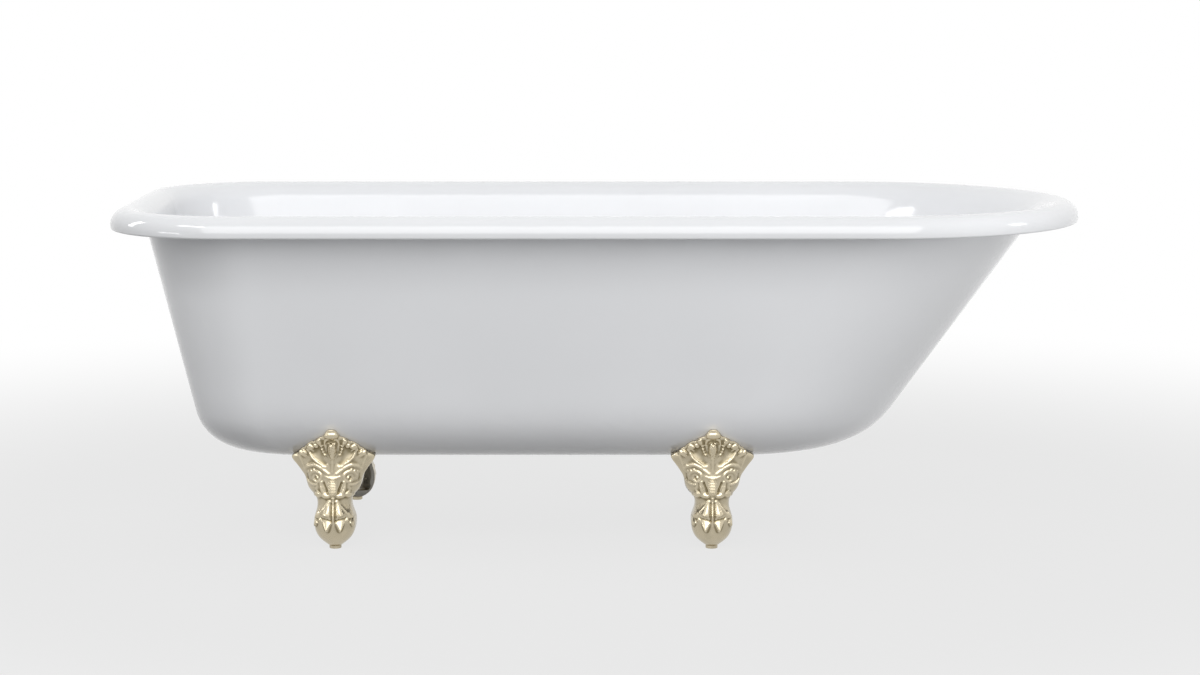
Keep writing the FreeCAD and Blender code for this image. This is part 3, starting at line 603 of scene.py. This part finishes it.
SIDE_RIDGES = (
    # edge of the drop
    ([(9.2, 187, 1.0), (10.4, 180, 1.3), (8.6, 171, 1.3), (5.6, 163, 1.2), (3.4, 154, 1.0)], 0.15),
    # rib between the petals
    ([(41, 179, 1.2), (38.5, 171, 1.7), (34, 163, 1.9), (27, 156.5, 1.8), (20, 152, 1.5),
      (14, 147, 1.0)], 0.45),
    # outer leaf's edge
    ([(57, 166, 1.2), (53.5, 157, 1.3), (50.5, 149, 1.2), (48.5, 141, 0.9)], 0.1),
    # brow
    ([(50, 142, 1.2), (43, 148.0, 2.2), (32, 150.5, 2.9), (22.5, 147.0, 2.9), (14, 141, 2.3),
      (6, 134.5, 1.5)], -0.25),
    # volute round the eye
    ([(41, 131, 1.2), (37, 137, 1.7), (29, 139.5, 1.9), (21.5, 136, 2.0), (19.8, 129, 2.0),
      (23, 122.5, 1.9), (30, 121.5, 1.7), (34.0, 126, 1.5), (32.0, 131.0, 1.3),
      (28, 132.0, 1.0)], -0.15),
    # lower edge of the shoulder leaf
    ([(46, 123, 1.8), (40, 118, 2.4), (33, 116, 2.0), (26, 117, 1.2)], 0.05),
    # leaf blade beside the slot
    ([(19.5, 124, 1.0), (20.5, 115, 1.9), (18.5, 106, 2.6), (14.0, 99, 2.2), (10, 94, 1.0)], 0.25),
    # tendril out to the wrist
    ([(26, 114, 0.9), (28.5, 108, 1.6), (25.5, 102.5, 1.8), (28, 98, 2.0), (34, 95, 1.6),
      (37, 95, 0.9)], 0.25),
    # outer tendon of a great toe
    ([(8.5, 86, 1.2), (13.5, 79, 1.7), (20, 70, 2.1), (26, 61.5, 2.4)], 0.1),
    # great toe
    ([(5.5, 89, 3.6), (8, 80, 6.2), (11, 70, 8.8), (13.2, 62.5, 10.2)], -0.56),
    # small toe at the side
    ([(25, 68, 2.8), (28, 62, 3.6), (30.5, 57.5, 3.8)], -0.1),
)
# Swellings: across, up, half across, half along, height, lean, how far sunk.
CENTRE_SWELLINGS = (
    (0, 204.5, 12.8, 7.6, 6.2, 0, 0.6),
    (0, 109, 8.6, 17.0, 3.4, 0, 0.4),
    (0, 93, 3.2, 3.4, 3.0, 0, 0.2),
)
SIDE_SWELLINGS = (
    # curls inside the crown's tips
    (27.2, 185.5, 3.8, 5.8, 3.8, 30, -0.9),
    (20.0, 191.0, 2.6, 4.2, 3.4, 12, -1.2),
    (33.6, 183.0, 2.4, 4.8, 3.4, 38, -0.8),
    (42.0, 177.0, 2.2, 5.4, 3.0, 42, -0.8),
    (47.5, 172.5, 2.0, 5.0, 2.8, 48, -0.7),
    (53.0, 168.5, 1.9, 4.2, 2.4, 55, -0.6),
    # chain of beads beside the drop
    (17.8, 185.5, 2.8, 2.8, 3.0, 0, -1.4),
    (16.8, 179.2, 2.5, 2.5, 2.7, 0, -1.3),
    (15.2, 173.6, 2.2, 2.2, 2.4, 0, -1.2),
    (12.8, 168.6, 2.0, 2.0, 2.2, 0, -1.1),
    # eye and the beads round it
    (26.6, 128.4, 2.6, 2.6, 2.6, 0, 0.2),
    (37.0, 139.8, 1.8, 1.8, 1.9, 0, -0.8),
    (31.8, 142.0, 1.6, 1.6, 1.7, 0, -1.0),
    (41.5, 138.6, 1.4, 1.4, 1.5, 0, -0.6),
    (17.5, 121.0, 1.6, 1.6, 1.6, 0, -0.4),
    (30.0, 122.5, 1.6, 1.6, 1.7, 0, -0.9),
    # cuff at the wrist
    (13.0, 97.0, 8.5, 5.2, 4.4, -14, 0.2),
    (25.5, 98.5, 9.0, 6.2, 4.4, 10, 0.2),
    (33.0, 92.0, 3.0, 4.0, 2.2, 14, 0.2),
    # knuckles
    (26.5, 63.0, 6.0, 8.0, 3.6, -36, 1.0),
    # beads between the side claws
    (24.6, 54.0, 1.9, 1.9, 2.0, 0, -0.3),
    (27.4, 48.5, 1.6, 1.6, 1.7, 0, -0.2),
)
# Fluted tips of the crown: across, up, lean.
TIPS = ((22.0, 191.5, 26), (38.0, 181.5, 40), (52.5, 170.0, 52))
FLUTES = (-17.0, 0.0, 17.0)
# Dips in the crown's edge: across, up, reach, depth.
NOTCHES = ((14.0, 201, 3.6, 2.6), (30.5, 193, 3.6, 2.8), (47.0, 181, 3.8, 2.6),
           (60.0, 171, 3.6, 2.0))
CROWN_HEART = (0.0, 150.0)
# Hollows pressed into the finished skin: course of (across, up, reach), depth.
CENTRE_HOLLOWS = (
    ([(-4.0, 193.0, 3.6), (4.0, 193.0, 3.6)], 4.0),
)
SIDE_HOLLOWS = (
    # petals
    ([(27, 173, 6.5), (20, 163, 6.0), (13, 154, 4.6)], 1.6),
    ([(47, 163, 6.5), (40, 156, 6.0)], 1.2),
    # under the brow and into the eye
    ([(30, 129.5, 2.4), (28, 127, 2.4)], 1.4),
    ([(45, 133, 3.0), (44, 126, 3.0)], 1.0),
    # slot between the leaf blade and the column
    ([(15.8, 121, 1.8), (13.6, 114, 2.0), (10.8, 107, 2.0), (8.4, 101, 1.5)], 3.2),
    # between the tendon and the great toe
    ([(3.6, 84, 1.8), (4.4, 74, 2.2), (3.8, 62, 2.2), (3.4, 53, 1.8)], 1.4),
)
# Claws: outer and inner corner of the root, the tip, how deep the root, how far out the tip.
CLAWS = (
    ((23.5, 59.5), (2.2, 55.0), (10.2, 33.0), 3.2, 8.6),
    ((35.5, 58.0), (25.4, 56.0), (31.0, 41.0), 1.8, 5.4),
)
# Width of a claw's edge. A belly of 27 stands 1 mm out in the middle of the claw.
CLAW_EDGE = 0.9
CLAW_BELLY = 27.0


# A flute's reach towards the heart and the edge, and its radius from foot to head.
FLUTE_IN = 9.0
FLUTE_OUT = 5.5
FLUTE_RADII = (1.2, 2.5, 3.0)
FLUTE_LIFT = 0.3


def flute(across, up, lean, spread):
    """One flute of a crown tip, fanning out to the crown's edge."""
    inner = math.radians(lean)
    outer = math.radians(lean + spread)
    foot = (across - FLUTE_IN * math.sin(inner), up - FLUTE_IN * math.cos(inner))
    head = (across + FLUTE_OUT * math.sin(outer), up + FLUTE_OUT * math.cos(outer))
    middle = ((foot[0] + head[0]) / 2.0, (foot[1] + head[1]) / 2.0)
    return [(*point, radius) for point, radius in zip((foot, middle, head), FLUTE_RADII)]


def ornament(front):
    """Every bar and swelling of one foot."""
    pieces = [ridge(front, course, lift) for course, lift in CENTRE_RIDGES]
    pieces += [swelling(front, *values) for values in CENTRE_SWELLINGS]
    for side in (-1, 1):
        for course, lift in SIDE_RIDGES:
            pieces.append(ridge(front, mirrored(course, side), lift))
        for across, up, lean in TIPS:
            for spread in FLUTES:
                course = flute(across, up, lean, spread)
                pieces.append(ridge(front, mirrored(course, side), FLUTE_LIFT))
        for across, up, half_across, half_along, height, lean, sink in SIDE_SWELLINGS:
            pieces.append(swelling(front, side * across, up, half_across, half_along, height,
                                   side * lean, sink))
    return pieces


def vertex_table(mesh, name="co"):
    """Every vertex's place, or its normal, as rows of three."""
    values = np.empty(len(mesh.vertices) * 3)
    mesh.vertices.foreach_get(name, values)
    return values.reshape(-1, 3)


def keep_shape(mesh, places):
    mesh.vertices.foreach_set("co", places.ravel())
    mesh.update()


def fit_widths(mesh):
    """Gives the leg and the crown their cast outline. The seat's height and depth stay."""
    places = vertex_table(mesh)
    heights, shares = zip(*WIDTH_SHARES)
    places[:, 0] *= np.interp(places[:, 2] / MILLIMETRE, heights, shares)
    keep_shape(mesh, places)


# How far the soft edge of a groove and of a dip goes past its reach.
PRESS_SPREAD = 1.6
DIP_SPREAD = 1.5
PRESS_STEPS = 5
# How sharply a treatment of the front stops where the skin turns away.
TURN = 4.0


def facing_front(normals, start, turn=TURN):
    """1 where the skin faces the front and 0 at the back. start is its share sideways."""
    return np.clip(start - turn * normals[:, 1], 0.0, 1.0)


def press(mesh, front, course, depth):
    """Presses a soft groove into the skin along a course."""
    places = vertex_table(mesh)
    deepest = np.zeros(len(places))
    direction = np.zeros_like(places)
    for across, up, reach in smooth_course(course, PRESS_STEPS):
        place, normal = front.smooth_spot(across, up)
        offset = places - np.array(place)
        near = 1.0 - (offset ** 2).sum(1) / (PRESS_SPREAD * reach * MILLIMETRE) ** 2
        share = np.clip(near, 0.0, 1.0) ** 2
        better = share > deepest
        deepest[better] = share[better]
        direction[better] = np.array(normal)
    keep_shape(mesh, places - direction * (deepest * depth * MILLIMETRE)[:, None])


def draw_claw(mesh, side, outer, inner, tip, sunk, raised):
    """Tilts a three-cornered patch of the front out of the ball, as a claw."""
    places = vertex_table(mesh)
    drawn = places[:, [0, 2]] / MILLIMETRE * np.array([side, 1.0])
    corners = np.array([outer, inner, tip])
    share = facing_front(vertex_table(mesh, "normal"), 0.5)
    share[places[:, 1] > 0.0] = 0.0
    weights = []
    for index in range(3):
        first, second, facing = np.roll(corners, -index, axis=0)
        along = (second - first) / np.linalg.norm(second - first)
        across = np.array([-along[1], along[0]])
        inward = across * np.sign((facing - first) @ across)
        distance = (drawn - first) @ inward
        weights.append(distance / ((facing - first) @ inward))
        share = share * np.clip(0.5 + distance / CLAW_EDGE, 0.0, 1.0)
    rise = np.clip(weights[0], 0.0, 1.0)
    belly = CLAW_BELLY * np.clip(weights[0] * weights[1] * weights[2], 0.0, None)
    move = share * (rise * (raised + sunk) - sunk + belly) * MILLIMETRE
    outward = places * np.array([1.0, 1.0, 0.0])
    outward /= np.maximum(np.linalg.norm(outward, axis=1), MILLIMETRE)[:, None]
    keep_shape(mesh, places + outward * move[:, None])


def dip_edge(mesh, across, up, reach, depth):
    """Draws the crown's edge in towards its heart, as seen from the front."""
    places = vertex_table(mesh)
    drawn = places[:, [0, 2]] / MILLIMETRE
    offset = drawn - np.array([across, up])
    share = np.clip(1.0 - (offset ** 2).sum(1) / (DIP_SPREAD * reach) ** 2, 0.0, 1.0) ** 2
    inward = np.array(CROWN_HEART) - np.array([across, up])
    inward /= np.linalg.norm(inward)
    move = share[:, None] * inward * depth * MILLIMETRE
    places[:, 0] += move[:, 0]
    places[:, 2] += move[:, 1]
    keep_shape(mesh, places)


# Nearest that the cast skin comes to the axis of the screw and of the stud.
SCREW_SHANK = 0.0054
STUD_SHANK = 0.0064
ON_AXIS = 1e-6


def clear_bores(mesh):
    """Keeps the skin off the screw and the stud where they pass through."""
    places = vertex_table(mesh)
    axis = foot_axis("tap_near")
    for pin, shank in (("levelling_screw", SCREW_SHANK), ("foot_stud", STUD_SHANK)):
        low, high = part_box(f"{pin}_tap_near")
        centre = np.array([(low.x + high.x) / 2.0 - axis.x, (low.y + high.y) / 2.0 - axis.y])
        offset = places[:, :2] - centre
        distance = np.maximum(np.linalg.norm(offset, axis=1), ON_AXIS)
        inside = distance < shank
        places[inside, :2] = centre + offset[inside] / distance[inside, None] * shank
    keep_shape(mesh, places)


def neighbour_mean(mesh, values, rounds):
    """Values averaged with those of their neighbours, several times over."""
    edges = np.empty(len(mesh.edges) * 2, dtype=np.int64)
    mesh.edges.foreach_get("vertices", edges)
    first, second = edges.reshape(-1, 2).T
    count = np.bincount(edges, minlength=len(values))[:, None]
    for _ in range(rounds):
        total = np.zeros_like(values)
        for column in range(values.shape[1]):
            total[:, column] = (
                np.bincount(first, values[second, column], len(values))
                + np.bincount(second, values[first, column], len(values)))
        values = (values + total) / (count + 1)
    return values


# The open back: how far forward its hollow comes, and how far off its other wall is.
HOLLOW_FRONT = -0.034
HOLLOW_REACH = 0.09
HOLLOW_ROUNDS = 3
# The relief fades out between these distances behind the foot's axis, in metres,
# from the one share to the other, and where the skin turns away from the front.
WORKED_DEPTH = (-0.012, 0.004)
WORKED_SHARES = (1.0, 0.2)
WORKED_START = 0.6
WORKED_TURN = 2.0
# Rounds of neighbours that level skin is averaged over, and how sunk a full cavity is.
LEVEL_ROUNDS = 14
FULL_CAVITY = 1.6 * MILLIMETRE
# Where the skin is stippled and where it is ribbed: (across, up, reach).
DROP_STIPPLE = [(0, 189, 10.0), (0, 180, 10.5), (0, 170, 8.5), (0, 162, 6.0)]
RIBBED_COLUMN = [(0, 124, 6.5), (0, 114, 8.0), (0, 104, 8.5), (0, 96, 7.0)]
# With 2, a mark is full up to half its reach.
MARK_FADE = 2.0


def keep_layer(mesh, name, values):
    mesh.attributes.new(name, "FLOAT", "POINT").data.foreach_set("value", values)


def mark_cavities(mesh, places, normals):
    """0.5 on level skin, more where it is sunk and less where it stands proud."""
    sunk = ((neighbour_mean(mesh, places, LEVEL_ROUNDS) - places) * normals).sum(1)
    worked = facing_front(normals, WORKED_START, WORKED_TURN)
    worked *= np.interp(places[:, 1], WORKED_DEPTH, WORKED_SHARES)
    cavity = np.clip(0.5 + worked * sunk / FULL_CAVITY, 0.0, 1.0)
    keep_layer(mesh, "cavity", neighbour_mean(mesh, cavity[:, None], 1)[:, 0])


def mark_inside(mesh, front, places, normals):
    """1 in the open back: where the skin faces backwards or across at another wall."""
    inside = np.zeros(len(places))
    hollow = np.flatnonzero(places[:, 1] > HOLLOW_FRONT)
    for index in hollow:
        away = Vector(normals[index])
        start = Vector(places[index]) + away * MILLIMETRE
        _, met, _, _ = front.tree.ray_cast(start, away, HOLLOW_REACH)
        inside[index] = met is not None and met.dot(away) < 0.0
    backwards = np.clip(TURN * normals[hollow, 1] - 1.0, 0.0, 1.0)
    inside[hollow] = np.maximum(inside[hollow], backwards)
    keep_layer(mesh, "inside", neighbour_mean(mesh, inside[:, None], HOLLOW_ROUNDS)[:, 0])


def mark_course(mesh, front, places, normals, name, course):
    """1 along a course on the front, fading out to nothing at its reach."""
    marked = np.zeros(len(places))
    for across, up, reach in smooth_course(course, PRESS_STEPS):
        place, _ = front.smooth_spot(across, up)
        offset = np.linalg.norm(places - np.array(place), axis=1)
        near = np.clip(MARK_FADE * (1.0 - offset / (reach * MILLIMETRE)), 0.0, 1.0)
        marked = np.maximum(marked, near * facing_front(normals, 0.0))
    keep_layer(mesh, name, marked)


def mark_relief(mesh, front):
    """Keeps what the plate's finish reads off each vertex."""
    places = vertex_table(mesh)
    normals = vertex_table(mesh, "normal")
    mark_cavities(mesh, places, normals)
    mark_inside(mesh, front, places, normals)
    mark_course(mesh, front, places, normals, "grain", DROP_STIPPLE)
    mark_course(mesh, front, places, normals, "ribs", RIBBED_COLUMN)


# Takes the steps of the remesh off the skin.
SMOOTHING = 0.5
SMOOTHING_ROUNDS = 2


def cast_foot(sizes):
    """One finished foot on its own axis."""
    piece = plain_foot("tap_near")
    fit_widths(piece.data)
    front = Front(piece)
    parts = ornament(front)
    choose([piece, *parts])
    bpy.ops.object.join()
    apply_modifier(piece, "REMESH", mode="VOXEL", voxel_size=sizes.foot_grain)
    apply_modifier(piece, "SMOOTH", factor=SMOOTHING, iterations=SMOOTHING_ROUNDS)
    for course, depth in CENTRE_HOLLOWS:
        press(piece.data, front, course, depth)
    for side in (-1, 1):
        for course, depth in SIDE_HOLLOWS:
            press(piece.data, front, mirrored(course, side), depth)
        for across, up, reach, depth in NOTCHES:
            dip_edge(piece.data, side * across, up, reach, depth)
        for outer, inner, tip, sunk, raised in CLAWS:
            draw_claw(piece.data, side, outer, inner, tip, sunk, raised)
    clear_bores(piece.data)
    mark_relief(piece.data, front)
    choose([piece])
    bpy.ops.object.shade_smooth()
    return piece


class BATH_OT_feet(bpy.types.Operator):
    """Models one claw foot and stands a copy at each corner"""
    bl_idname = "bath.feet"
    bl_label = "Claw feet"

    def execute(self, context):
        sizes = context.scene.bath_finish
        pattern = cast_foot(sizes)
        material = plate_finish(sizes)
        for corner in CORNERS:
            choose([pattern])
            bpy.ops.object.duplicate()
            piece = context.active_object
            piece.name = f"claw_foot_{corner}"
            piece.data.name = piece.name
            piece.location = foot_axis(corner)
            piece.rotation_euler.z = math.pi if corner.endswith("far") else 0.0
            bpy.ops.object.transform_apply(location=True, rotation=True, scale=False)
            piece.data.materials.clear()
            piece.data.materials.append(material)
            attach(piece, "bath")
            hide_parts(f"foot_{corner}")
        bpy.data.objects.remove(pattern)
        return {"FINISHED"}


# ----------------------------------------------------------------- the studio

def seen_directly(nodes):
    """1 for rays from the camera and from mirrors and glass, 0 for light."""
    rays = nodes.add("ShaderNodeLightPath", {}, {})
    seen = Signal(nodes, rays.outputs["Is Camera Ray"])
    glossy = Signal(nodes, rays.outputs["Is Glossy Ray"])
    through = Signal(nodes, rays.outputs["Is Transmission Ray"])
    return seen.math("ADD", seen + glossy, through, clamp=True)


# The floor: its mottle, and how white it is seen near the bath and further out.
MOTTLE = (30.0, 4.0)
MOTTLE_TONES = (0.985, 1.01)
FLOOR_ROUGHNESS = 0.9
FLOOR_SHINE = 0.1
WHITENING_DISTANCE = (1.0, 2.8)
WHITENING = (0.76, 1.0)
FLOOR_SIDES = 96


def floor_finish(studio):
    """A pale floor that keeps the bath's shadow and turns white further out."""
    paint = Paint("studio_floor")
    mottle = paint.noise(*MOTTLE).span(*CLOUDY)
    paint.finish(Base_Color=paint.wander(mottle, studio.floor_colour, MOTTLE_TONES),
                 Roughness=FLOOR_ROUGHNESS, Specular_IOR_Level=FLOOR_SHINE)
    lit = Signal(paint, paint.shader.outputs[0])
    white = paint.node("ShaderNodeEmission", {}, {"Color": WHITE, "Strength": 1.0})
    distance = paint.node("ShaderNodeVectorMath", {"operation": "LENGTH"},
                          {0: paint.place()}, "Value")
    share = distance.span(*WHITENING_DISTANCE, *WHITENING) * seen_directly(paint)
    surface = paint.node("ShaderNodeMixShader", {}, {0: share, 1: lit, 2: white})
    paint.feed(paint.output.inputs["Surface"], surface)
    return paint.material


def light_room(studio):
    """A white room: full white where it is seen, softer where it lights."""
    world = bpy.data.worlds.new("studio_room")
    bpy.context.scene.world = world
    world.use_nodes = True
    room = Nodes(world.node_tree)
    background = room.tree.nodes["Background"]
    room.feed(background.inputs["Color"], WHITE)
    room.feed(background.inputs["Strength"], studio.room_light)
    lit = Signal(room, background.outputs[0])
    white = room.node("ShaderNodeBackground", {}, {"Color": WHITE, "Strength": 1.0})
    surface = room.node("ShaderNodeMixShader", {}, {0: seen_directly(room), 1: lit, 2: white})
    room.feed(room.tree.nodes["World Output"].inputs["Surface"], surface)


LAMPS = (
    # name, place, aim, width, height, watts, shows in gloss
    ("front_softbox", (0.0, -4.4, 2.9), (0.0, 0.0, 0.40), 5.4, 4.2, 178.0, True),
    ("overhead_softbox", (0.2, -0.3, 3.2), (0.2, 0.0, 0.30), 3.0, 2.0, 22.0, False),
    ("back_softbox", (0.0, 3.4, 3.4), (0.0, 0.0, 0.35), 5.0, 3.0, 76.0, False),
    ("low_right_softbox", (2.8, -1.5, 0.45), (0.6, -0.2, 0.35), 1.1, 0.8, 24.0, False),
    ("tall_left_window", (-3.9, 0.7, 2.0), (-0.6, 0.0, 0.55), 0.5, 1.6, 16.0, True),
    ("high_left_window", (-2.2, -1.9, 2.9), (0.5, 0.3, 0.53), 1.3, 0.5, 12.0, True),
    ("low_left_window", (-3.7, -2.4, 0.55), (-0.7, -0.35, 0.55), 1.5, 0.3, 9.0, True),
    ("right_window", (3.95, -0.3, 1.85), (0.7, -0.3, 0.57), 0.6, 0.6, 9.0, True),
)


def hang_lamp(name, place, aim, width, height, watts, shows):
    """A softbox that the camera doesn't see. shows lets polished pieces mirror it."""
    bpy.ops.object.light_add(type="AREA", location=place)
    lamp = bpy.context.active_object
    lamp.name = name
    lamp.data.shape = "RECTANGLE"
    lamp.data.size = width
    lamp.data.size_y = height
    lamp.data.energy = watts
    lamp.visible_camera = False
    lamp.visible_glossy = shows
    lamp.rotation_euler = (Vector(aim) - Vector(place)).to_track_quat("-Z", "Y").to_euler()


# In millimetres, as the lens is.
SENSOR_WIDTH = 36.0


class BATH_OT_studio(bpy.types.Operator):
    """Lays the floor, hangs the lamps and sets up the camera"""
    bl_idname = "bath.studio"
    bl_label = "Studio"

    def execute(self, context):
        studio = context.scene.bath_studio
        bpy.ops.mesh.primitive_circle_add(vertices=FLOOR_SIDES, radius=studio.floor_radius,
                                          fill_type="NGON", location=(0.0, 0.0, 0.0))
        floor = context.active_object
        floor.name = "studio_floor"
        floor.data.materials.append(floor_finish(studio))
        light_room(studio)
        for lamp in LAMPS:
            hang_lamp(*lamp)
        bpy.ops.object.camera_add(
            location=studio.camera_place,
            rotation=(math.pi / 2.0 - studio.camera_tilt, 0.0, 0.0))
        camera = context.active_object
        camera.name = "studio_camera"
        camera.data.sensor_width = SENSOR_WIDTH
        camera.data.lens = studio.lens
        context.scene.camera = camera
        context.scene.view_settings.view_transform = "Standard"
        return {"FINISHED"}


class BATH_PT_panel(bpy.types.Panel):
    """Lists the pieces of the bathtub"""
    bl_idname = "BATH_PT_panel"
    bl_label = "Bathtub"
    bl_space_type = "VIEW_3D"
    bl_region_type = "UI"
    bl_category = "Bathtub"

    def draw(self, context):
        layout = self.layout
        for operator in PIECES:
            layout.operator(operator.bl_idname)
        for group in (context.scene.bath_finish, context.scene.bath_studio):
            for name in group.__annotations__:
                layout.prop(group, name)


PIECES = (BATH_OT_enamel, BATH_OT_fittings, BATH_OT_feet, BATH_OT_studio)
CLASSES = (BathFinish, BathStudio, *PIECES, BATH_PT_panel)


def register():
    for item in CLASSES:
        bpy.utils.register_class(item)
    bpy.types.Scene.bath_finish = PointerProperty(type=BathFinish)
    bpy.types.Scene.bath_studio = PointerProperty(type=BathStudio)


def unregister():
    del bpy.types.Scene.bath_studio
    del bpy.types.Scene.bath_finish
    for item in reversed(CLASSES):
        bpy.utils.unregister_class(item)


def main():
    register()
    bpy.ops.bath.enamel()
    bpy.ops.bath.fittings()
    bpy.ops.bath.feet()
    bpy.ops.bath.studio()


if __name__ == "__main__":
    main()
